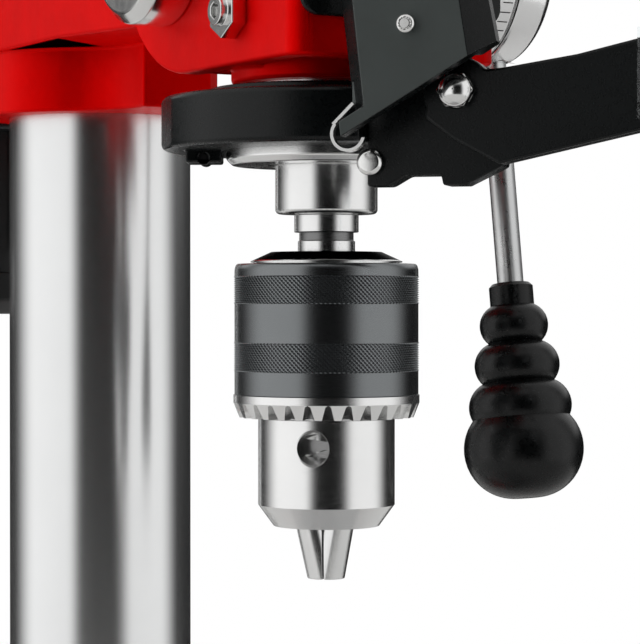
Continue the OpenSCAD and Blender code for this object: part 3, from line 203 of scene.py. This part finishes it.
clear = Look("clear_sheet", (0.93, 0.96, 0.97), rough=0.05)
clear.put("Transmission Weight", 1.0)
clear.put("IOR", 1.49)
clear.wear(clear.noise(scale=300), low=0.03, high=0.09)

# The finish of each slot
LOOKS = {
    "red_paint": red,
    "black_paint": paint("black_enamel", (0.011, 0.0115, 0.012), rough=0.36, lumps=0.00012),
    "cast_base": paint("cast_iron_paint", (0.17, 0.18, 0.19), rough=0.45, lumps=0.0004),
    "black_plastic": plastic("black_moulding", (0.003, 0.0042, 0.0044), 0.28, specular=0.25),
    "grey_plastic": plastic("grey_moulding", (0.075, 0.087, 0.084), 0.45, specular=0.35),
    "black_knob": plastic(
        "knob_moulding", (0.003, 0.0036, 0.0038), 0.28, grain=0.00001, specular=0.3
    ),
    "green_button": plastic("green_button", (0.015, 0.24, 0.04), 0.3),
    "red_button": plastic("red_button", (0.5, 0.008, 0.008), 0.3),
    "belt_rubber": plastic(
        "belt_rubber", (0.012, 0.012, 0.012), 0.7, grain=0.0001, specular=0.3
    ),
    "black_sleeve": metal("black_oxide_sleeve", (0.2, 0.21, 0.215), 0.24, TURNED, spread=0.03),
    "ground_steel": metal("ground_steel", (0.84, 0.84, 0.835), 0.2, TURNED),
    "bright_zinc": metal("bright_zinc", (0.82, 0.82, 0.81), 0.18, EVEN),
    "zinc_steel": metal("dull_zinc", (0.55, 0.55, 0.53), 0.32, EVEN),
    "bearing_steel": metal("bearing_steel", (0.6, 0.6, 0.6), 0.22, TURNED),
    "spring_steel": metal("spring_steel", (0.8, 0.8, 0.79), 0.2, EVEN),
    "black_oxide": metal("black_oxide", (0.05, 0.05, 0.052), 0.35, EVEN),
    "chrome": metal("chrome_plate", (0.84, 0.84, 0.84), 0.16, TURNED_X, spread=0.04),
    "cast_table": metal(
        "milled_iron", (0.5, 0.5, 0.5), 0.36, MILLED, spread=0.025, depth=0.000006, stain=0.93
    ),
    "cast_pulley": metal("turned_aluminium", (0.74, 0.74, 0.74), 0.28, TURNED),
    "clear_shield": clear,
}
# Nodes whose finish isn't their slot's
OWN_LOOKS = {
    "column": column_steel,
    "feed_levers": metal("satin_lever_steel", (0.6, 0.605, 0.605), 0.3, EVEN),
}
# Finishes of some faces only, and of the scale, and painted shade for the arbor's groove
black_cap = metal("black_oxide_cap", (0.022, 0.0235, 0.024), 0.25, TURNED, spread=0.03)
black_cap.put("Specular Tint", (0.2, 0.2, 0.2, 1))
# Darker steel on the arbor's groove: painted shade in the recess between its rings
groove_shade_steel = metal("dull_groove", (0.22, 0.22, 0.22), 0.3, TURNED)
scale_ink = plastic("scale_ink", (0.006, 0.006, 0.006), 0.5)


def look_of(node):
    """A node's own finish, or else its slot's."""
    return OWN_LOOKS.get(node) or LOOKS[slot_of_node[node]]


# Pieces
WELD = 2e-6
FLAT_ANGLE = math.radians(0.5)
HARD_ANGLE = math.radians(28)
LARGE_FACE_WEIGHT = 90
TURNED_SEGMENTS = 2
# A face of a turned part is round when its normal leans this little out of the plane through
# the axis and it isn't level; a point this near the axis has no direction outward
ROUND_LEAN = 0.12
LEVEL = 0.999
ON_AXIS = 1e-5


def set_material(obj, look):
    obj.data.materials.clear()
    obj.data.materials.append(look.mat)


def second_look(obj, look, chosen):
    """Gives the faces that chosen picks a second finish."""
    obj.data.materials.append(look.mat)
    for face in obj.data.polygons:
        if chosen(face):
            face.material_index = 1


def new_piece(name, mesh, node, look=None):
    """A new object on the node's body, with the node's finish or another."""
    obj = bpy.data.objects.new(name, mesh)
    bpy.context.scene.collection.objects.link(obj)
    set_material(obj, look or look_of(node))
    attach(obj, body_of_node[node])
    return obj


def mesh_from(bm, name):
    """Ends an edit and gives its result as a mesh."""
    mesh = bpy.data.meshes.new(name)
    bm.to_mesh(mesh)
    bm.free()
    return mesh


def smooth_mesh_from(bm, name):
    for face in bm.faces:
        face.smooth = True
    return mesh_from(bm, name)


def welded(node):
    """A copy of the node's triangles to edit, joined at their corners."""
    bm = bmesh.new()
    bm.from_mesh(nodes[node].data)
    bmesh.ops.remove_doubles(bm, verts=bm.verts, dist=WELD)
    return bm


def softened(node, width, segments):
    """A copy of the node with its flat faces joined and its hard edges rounded."""
    bm = welded(node)
    bmesh.ops.dissolve_limit(
        bm, angle_limit=FLAT_ANGLE, verts=bm.verts, edges=bm.edges, use_dissolve_boundaries=False
    )
    obj = new_piece(node + "_soft", smooth_mesh_from(bm, node + "_soft"), node)
    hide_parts(node)
    bevel = obj.modifiers.new("edges", "BEVEL")
    bevel.width = width * MM
    bevel.segments = segments
    bevel.limit_method = "ANGLE"
    bevel.angle_limit = HARD_ANGLE
    bevel.use_clamp_overlap = False
    bevel.miter_outer = "MITER_ARC"
    even = obj.modifiers.new("normals", "WEIGHTED_NORMAL")
    even.mode = "FACE_AREA_WITH_ANGLE"
    even.weight = LARGE_FACE_WEIGHT
    even.keep_sharp = True
    return obj


def from_axis(co):
    """The level way from the spindle axis to a point."""
    return Vector((co.x - spindle_x, co.y - spindle_y, 0))


def turned_normals(mesh):
    """A normal for each corner: exact on faces that are round about the spindle axis."""
    normals = [None] * len(mesh.loops)
    for face in mesh.polygons:
        n = face.normal
        out = from_axis(face.center).normalized()
        is_round = abs(n.dot(Vector((-out.y, out.x, 0)))) < ROUND_LEAN and abs(n.z) < LEVEL
        for k in face.loop_indices:
            at = from_axis(mesh.vertices[mesh.loops[k].vertex_index].co)
            if is_round and at.length > ON_AXIS:
                normals[k] = (at.normalized() * n.dot(out) + Vector((0, 0, n.z))).normalized()
            else:
                normals[k] = n.copy()
    return normals


def turned(node, width=0.0, cut=None):
    """A copy of a node that is turned about the spindle axis, with its hard edges rounded to
    a width and its faces cut at a height, where these are given."""
    bm = welded(node)
    if cut is not None:
        everything = bm.verts[:] + bm.edges[:] + bm.faces[:]
        bmesh.ops.bisect_plane(bm, geom=everything, plane_co=(0, 0, cut), plane_no=(0, 0, 1))
    if width:
        pairs = [e for e in bm.edges if len(e.link_faces) == 2]
        bmesh.ops.bevel(
            bm,
            geom=[e for e in pairs if e.calc_face_angle(0) > HARD_ANGLE],
            offset=width * MM,
            offset_type="OFFSET",
            segments=TURNED_SEGMENTS,
            profile=0.5,
            affect="EDGES",
            clamp_overlap=False,
        )
    mesh = smooth_mesh_from(bm, node + "_turned")
    mesh.normals_split_custom_set(turned_normals(mesh))
    obj = new_piece(node + "_turned", mesh, node)
    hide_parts(node)
    return obj


for name, obj in nodes.items():
    set_material(obj, look_of(name))

# Width of the rounded edge in millimetres, and its segments
SOFT = {
    "head_casting": (1.2, 3),
    "guard_collar": (0.6, 2),
    "guard_arm": (0.8, 3),
    "guard_switch": (0.3, 2),
    "jaw_a": (0.2, 1),
    "jaw_b": (0.2, 1),
    "jaw_c": (0.2, 1),
    "gib_screw": (0.35, 2),
    "guard_pivot": (0.3, 2),
    "guard_screws": (0.25, 2),
    "spring_cap": (0.6, 2),
    "depth_drum": (0.4, 2),
    "feed_hub": (0.9, 3),
    "switch_plate": (0.7, 2),
    "start_button": (0.8, 3),
    "stop_button": (0.8, 3),
    "column_foot": (1.5, 3),
    "base": (2.5, 3),
    "table": (1.2, 2),
    "table_bracket": (1.2, 2),
    "terminal_box": (1.5, 3),
    "motor_plate": (1.0, 2),
    "motor_covers": (0.8, 2),
    "belt_tray": (0.6, 2),
    "belt_lid": (0.6, 2),
    "tilt_bolt": (0.7, 2),
    "foot_bolts": (0.5, 2),
    "feed_nuts": (0.5, 2),
}
soft_pieces = {node: softened(node, *sizes) for node, sizes in SOFT.items()}

# Turned parts: the chuck's cap is black above a bright rim, and the arbor's groove gets darker
# steel as painted shade
CAP_LINE = sleeve_high.z + 1.0 * MM
GROOVE_SHADE_LOW = sleeve_high.z + 6.3 * MM
GROOVE_SHADE_HIGH = sleeve_high.z + 8.9 * MM
turned("quill", 0.4)
turned("spindle", 0.35)
chuck_body = turned("chuck_body", cut=CAP_LINE)
second_look(chuck_body, black_cap, lambda face: face.center.z > CAP_LINE)
arbor = turned("arbor", 0.15)
# The groove's faces take the darker steel, as painted shade
second_look(arbor, groove_shade_steel, lambda face: GROOVE_SHADE_LOW < face.center.z < GROOVE_SHADE_HIGH)

# Head: a red plate inside the casting beside the column, so that its hollow doesn't show black: a
# sheet set in the shaded hollow that stands in for its dark red shade
PLATE_Z = 0.6150
PLATE_T = 2 * MM
PLATE_W = 61 * MM
PLATE_FROM = 84 * MM
PLATE_TO = 158 * MM
bm = bmesh.new()
bmesh.ops.create_cube(bm, size=1)
for v in bm.verts:
    v.co.x *= PLATE_W
    v.co.y = spindle_y + (PLATE_FROM if v.co.y < 0 else PLATE_TO)
    v.co.z = PLATE_Z + (0 if v.co.z < 0 else PLATE_T)
# The sheet stands in for the dark red shade in the hollow; the casting is open there
new_piece("head_floor", mesh_from(bm, "head_floor"), "head_casting")

# Guard housing: grey where it looks the same way as its largest face to the front, a painted
# highlight for the light that face catches, else black plastic
TO_FRONT = -0.5
SAME_WAY = 0.97
housing = soft_pieces["guard_switch"]
widest = max(housing.data.polygons, key=lambda face: face.area * (face.normal.y < TO_FRONT))
painted_lit_way = widest.normal.copy()
second_look(housing, LOOKS["black_plastic"], lambda face: face.normal.dot(painted_lit_way) < SAME_WAY)

# Chuck sleeve: two bands of flat-topped diamond knurling between smooth lands. Each band is
# given by how far below the top it starts and by its height
KNURL_AROUND = 130
KNURL_UP = 6
KNURL_STEPS = 4
FLAT_TOP = 0.125
KNURL_PEAK_R = 26.15 * MM
KNURL_ROOT_R = 25.2 * MM
LAND_R = 25.7 * MM
BANDS = ((3.7 * MM, 7.2 * MM), (22.1 * MM, 7.5 * MM))
SLEEVE_BORE_R = 20.45 * MM
RELIEF_R = 23.6 * MM
RELIEF_FROM = 3.5 * MM
JOURNAL_H = 7 * MM
SLEEVE_EDGE = 0.25 * MM
# The rounded shoulder at the top goes in by this part of its height
SHOULDER_H = 2.2 * MM
SHOULDER_IN = 0.45
SHOULDER_STEPS = 6


def groove(a):
    """0 on a groove line, 1 midway between two."""
    return 1 - 2 * abs(a % 1 - 0.5)


def knurl_rings(start, height):
    """Rings of (height, radius function) for one knurled band, from its start down."""
    rings = []
    count = KNURL_UP * KNURL_STEPS
    for j in range(count + 1):
        v = j / KNURL_STEPS

        def radius(u, v=v):
            rise = min(groove(u + v + FLAT_TOP), groove(u - v + FLAT_TOP))
            return KNURL_ROOT_R + (KNURL_PEAK_R - KNURL_ROOT_R) * rise

        rings.append((start - height * j / count, radius))
    return rings


def plain_ring(z, r):
    return (z, lambda u: r)


def ring_strip(rings, smooth):
    """A mesh of the faces between rings round the spindle axis."""
    around = KNURL_AROUND * KNURL_STEPS
    bm = bmesh.new()
    loops = []
    for z, radius in rings:
        loop = []
        for i in range(around):
            r = radius(i / KNURL_STEPS)
            a = 2 * math.pi * i / around
            co = (spindle_x + r * math.cos(a), spindle_y + r * math.sin(a), z)
            loop.append(bm.verts.new(co))
        loops.append(loop)
    for upper, lower in zip(loops, loops[1:]):
        for i in range(around):
            j = (i + 1) % around
            bm.faces.new((upper[i], lower[i], lower[j], upper[j])).smooth = smooth
    return mesh_from(bm, "strip")


def plain_strip(*points):
    """A smooth strip through plain rings, each given by its height and radius."""
    return ring_strip([plain_ring(*point) for point in points], True)


def joined(name, meshes):
    """One mesh of several, whose points stay apart so that the edges between them stay sharp."""
    bm = bmesh.new()
    for mesh in meshes:
        bm.from_mesh(mesh)
        bpy.data.meshes.remove(mesh)
    return mesh_from(bm, name)


def make_sleeve():
    top, low = sleeve_high.z, sleeve_low.z
    land = [(top, SLEEVE_BORE_R)]
    for i in range(SHOULDER_STEPS + 1):
        a = math.pi / 2 * (1 - i / SHOULDER_STEPS)
        r = LAND_R - SHOULDER_H * SHOULDER_IN * (1 - math.cos(a))
        land.append((top - SHOULDER_H * (1 - math.sin(a)), r))
    strips = []
    for drop, height in BANDS:
        over = (top - drop + SLEEVE_EDGE, LAND_R)
        under = (top - drop - height - SLEEVE_EDGE, LAND_R)
        knurl = knurl_rings(top - drop, height)
        strips.append(plain_strip(*land, over))
        strips.append(ring_strip([plain_ring(*over), knurl[0]], False))
        strips.append(ring_strip(knurl, False))
        strips.append(ring_strip([knurl[-1], plain_ring(*under)], False))
        land = [under]
    strips.append(plain_strip(*land, (low + SLEEVE_EDGE, LAND_R)))
    # Each of the rest is a strip of its own: lower edge, underside, and the bore with its relief
    profile = (
        (low + SLEEVE_EDGE, LAND_R),
        (low, LAND_R - SLEEVE_EDGE),
        (low, SLEEVE_BORE_R),
        (low + RELIEF_FROM, SLEEVE_BORE_R),
        (low + RELIEF_FROM, RELIEF_R),
        (top - JOURNAL_H, RELIEF_R),
        (top - JOURNAL_H, SLEEVE_BORE_R),
        (top, SLEEVE_BORE_R),
    )
    strips += [plain_strip(start, stop) for start, stop in zip(profile, profile[1:])]
    sleeve = new_piece("knurled_sleeve", joined("knurled_sleeve", strips), "chuck_sleeve")
    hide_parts("chuck_sleeve")


make_sleeve()

# Depth drum: scale lines round its rim, longer at every fifth and longest at every tenth
TICKS = 60
TICK_W = 0.35 * MM
TICK_PROUD = 0.03 * MM
TICK_MARGIN = 1.9 * MM
TICK_LONGEST = 7.5 * MM
TICK_LONGER = 5.5 * MM
TICK_SHORT = 3.5 * MM


def make_scale():
    low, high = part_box("depth_drum")
    mid = (low + high) / 2
    r = (high.z - low.z) / 2
    half = TICK_W / 2 / r
    outer = high.x - TICK_MARGIN
    bm = bmesh.new()
    for k in range(TICKS):
        length = TICK_LONGEST if k % 10 == 0 else TICK_LONGER if k % 5 == 0 else TICK_SHORT
        a = 2 * math.pi * k / TICKS
        inner = outer - length
        quad = []
        for x, t in ((inner, a - half), (outer, a - half), (outer, a + half), (inner, a + half)):
            y = mid.y + (r + TICK_PROUD) * math.cos(t)
            z = mid.z + (r + TICK_PROUD) * math.sin(t)
            quad.append(bm.verts.new((x, y, z)))
        bm.faces.new(quad)
    bmesh.ops.recalc_face_normals(bm, faces=bm.faces)
    new_piece("drum_scale", mesh_from(bm, "drum_scale"), "depth_drum", scale_ink)


make_scale()

# Floor
FLOOR_R = 1.3
FLOOR_SIDES = 96
FLOOR_Y = 0.05
FLOOR_GAP = 0.5 * MM
bm = bmesh.new()
bmesh.ops.create_circle(bm, cap_ends=True, radius=FLOOR_R, segments=FLOOR_SIDES)
floor = bpy.data.objects.new("floor", mesh_from(bm, "floor"))
bpy.context.scene.collection.objects.link(floor)
floor.location = (0, FLOOR_Y, cad_low.z - FLOOR_GAP)
pale = Look("pale_floor", (0.78, 0.78, 0.77), rough=0.7, specular=0.2)
pale.tint(pale.noise(scale=3), dark=0.97, light=1.02)
set_material(floor, pale)

# Camera: distance and height read from the photograph's perspective
CAMERA_TURN = math.radians(30)
CAMERA_AWAY = 0.675
CAMERA_ASIDE = -0.0018
EYE_Z = 0.530
PITCH = math.radians(-0.52)
FOCAL_PX = 2415
FRAME_PX = 644
SENSOR = 36
CLIP_START = 0.02
toward = Vector((-math.sin(CAMERA_TURN), -math.cos(CAMERA_TURN), 0))
aside = Vector((math.cos(CAMERA_TURN), -math.sin(CAMERA_TURN), 0))
camera_data = bpy.data.cameras.new("camera")
camera_data.sensor_width = SENSOR
camera_data.lens = SENSOR * FOCAL_PX / FRAME_PX
camera_data.clip_start = CLIP_START
camera = bpy.data.objects.new("camera", camera_data)
bpy.context.scene.collection.objects.link(camera)
spindle_at_eye = Vector((spindle_x, spindle_y, EYE_Z))
camera.location = spindle_at_eye + CAMERA_AWAY * toward + CAMERA_ASIDE * aside
camera.rotation_euler = (math.pi / 2 + PITCH, 0, -CAMERA_TURN)
bpy.context.scene.camera = camera

# Light. A wall is given by angles in degrees from the camera's side: where it starts and where
# it is full, then where it starts to fade and where it ends
METAL_LEFT = ((15, 36), (86, 134))
METAL_RIGHT = ((22, 46), (86, 122))
METAL_RIGHT_LEVEL = 0.95
METAL_LEAST = 0.004
LIGHT_LEFT = ((50, 72), (130, 155))
LIGHT_RIGHT = ((88, 108), (140, 165))
LIGHT_RIGHT_LEVEL = 0.55
LIGHT_LEVEL = 2.0
LIGHT_LEAST = 0.03
# A ramp is given by where it starts and stops, and by its values there
LEFT_TO_RIGHT = (-0.05, 0.05, 0, 1)
WALL_HEIGHT = (0.78, 0.97, 1, 0)
LIGHT_ABOVE = (0.6, 0.98, 0, 0.75)
METAL_ABOVE = (0.4, 0.85, 0, 0.75)
METAL_BEHIND_UP = (0.08, 0.28, 0, 0.85)
METAL_BEHIND = (-0.6, -0.25, 1, 0)
# Straight up and down there is no level part to divide by, so it is kept above this
LEAST_LEVEL_PART = 0.001


def angle_cos(degrees):
    return math.cos(math.radians(degrees))


def studio_world():
    """White behind the object for the camera and through clear sheet. Metal sees two white
    walls, at the left and the right, with dark between them, and a pale background above and
    behind. Other light comes softly from two walls and from above."""
    world = bpy.data.worlds.new("studio")
    bpy.context.scene.world = world
    world.use_nodes = True
    tree = world.node_tree
    tree.nodes.clear()

    def calc(op, *values):
        """The result of a maths node on numbers or sockets."""
        n = tree.nodes.new("ShaderNodeMath")
        n.operation = op
        for socket, value in zip(n.inputs, values):
            if isinstance(value, (int, float)):
                socket.default_value = value
            else:
                tree.links.new(value, socket)
        return n.outputs[0]

    def ramp(source, start, stop, low, high):
        n = tree.nodes.new("ShaderNodeMapRange")
        n.interpolation_type = "SMOOTHSTEP"
        limits = {"From Min": start, "From Max": stop, "To Min": low, "To Max": high}
        for key, value in limits.items():
            n.inputs[key].default_value = value
        tree.links.new(source, n.inputs["Value"])
        return n.outputs["Result"]

    def mixed(factor, a, b):
        """a where factor is 0, b where it is 1."""
        part_a = calc("MULTIPLY", a, calc("SUBTRACT", 1.0, factor))
        return calc("ADD", part_a, calc("MULTIPLY", b, factor))

    place = tree.nodes.new("ShaderNodeTexCoord")
    split = tree.nodes.new("ShaderNodeSeparateXYZ")
    tree.links.new(place.outputs["Generated"], split.inputs[0])
    x, y, z = split.outputs
    level_part = calc("SQRT", calc("ADD", calc("MULTIPLY", x, x), calc("MULTIPLY", y, y)))
    level_part = calc("MAXIMUM", level_part, LEAST_LEVEL_PART)

    def along(axis):
        """Cosine of the level angle between the way looked at and an axis."""
        total = calc("ADD", calc("MULTIPLY", x, axis.x), calc("MULTIPLY", y, axis.y))
        return calc("DIVIDE", total, level_part)

    front = along(toward)
    side = ramp(along(aside), *LEFT_TO_RIGHT)
    tall = ramp(calc("ABSOLUTE", z), *WALL_HEIGHT)

    def wall(near, far):
        start, full = map(angle_cos, near)
        fade, end = map(angle_cos, far)
        return calc("MULTIPLY", ramp(front, full, start, 1, 0), ramp(front, end, fade, 0, 1))

    def walls(left, right, right_level):
        """The two walls, up to their height."""
        right_wall = calc("MULTIPLY", wall(*right), right_level)
        return calc("MULTIPLY", mixed(side, wall(*left), right_wall), tall)

    metal_level = calc("ADD", walls(METAL_LEFT, METAL_RIGHT, METAL_RIGHT_LEVEL), METAL_LEAST)
    behind = calc("MULTIPLY", ramp(z, *METAL_BEHIND_UP), ramp(front, *METAL_BEHIND))
    behind = calc("MAXIMUM", behind, ramp(z, *METAL_ABOVE))
    metal_level = calc("MAXIMUM", metal_level, behind)
    light_level = calc("MULTIPLY", walls(LIGHT_LEFT, LIGHT_RIGHT, LIGHT_RIGHT_LEVEL), LIGHT_LEVEL)
    light_level = calc("ADD", calc("ADD", light_level, LIGHT_LEAST), ramp(z, *LIGHT_ABOVE))
    path = tree.nodes.new("ShaderNodeLightPath").outputs
    level = mixed(path["Is Glossy Ray"], light_level, metal_level)
    seen = calc("MAXIMUM", path["Is Camera Ray"], path["Is Transmission Ray"])
    back = tree.nodes.new("ShaderNodeBackground")
    back.inputs["Color"].default_value = (1, 1, 1, 1)
    tree.links.new(mixed(seen, level, 1.0), back.inputs["Strength"])
    out = tree.nodes.new("ShaderNodeOutputWorld")
    tree.links.new(back.outputs[0], out.inputs["Surface"])


studio_world()
bpy.context.scene.view_settings.view_transform = "Standard"
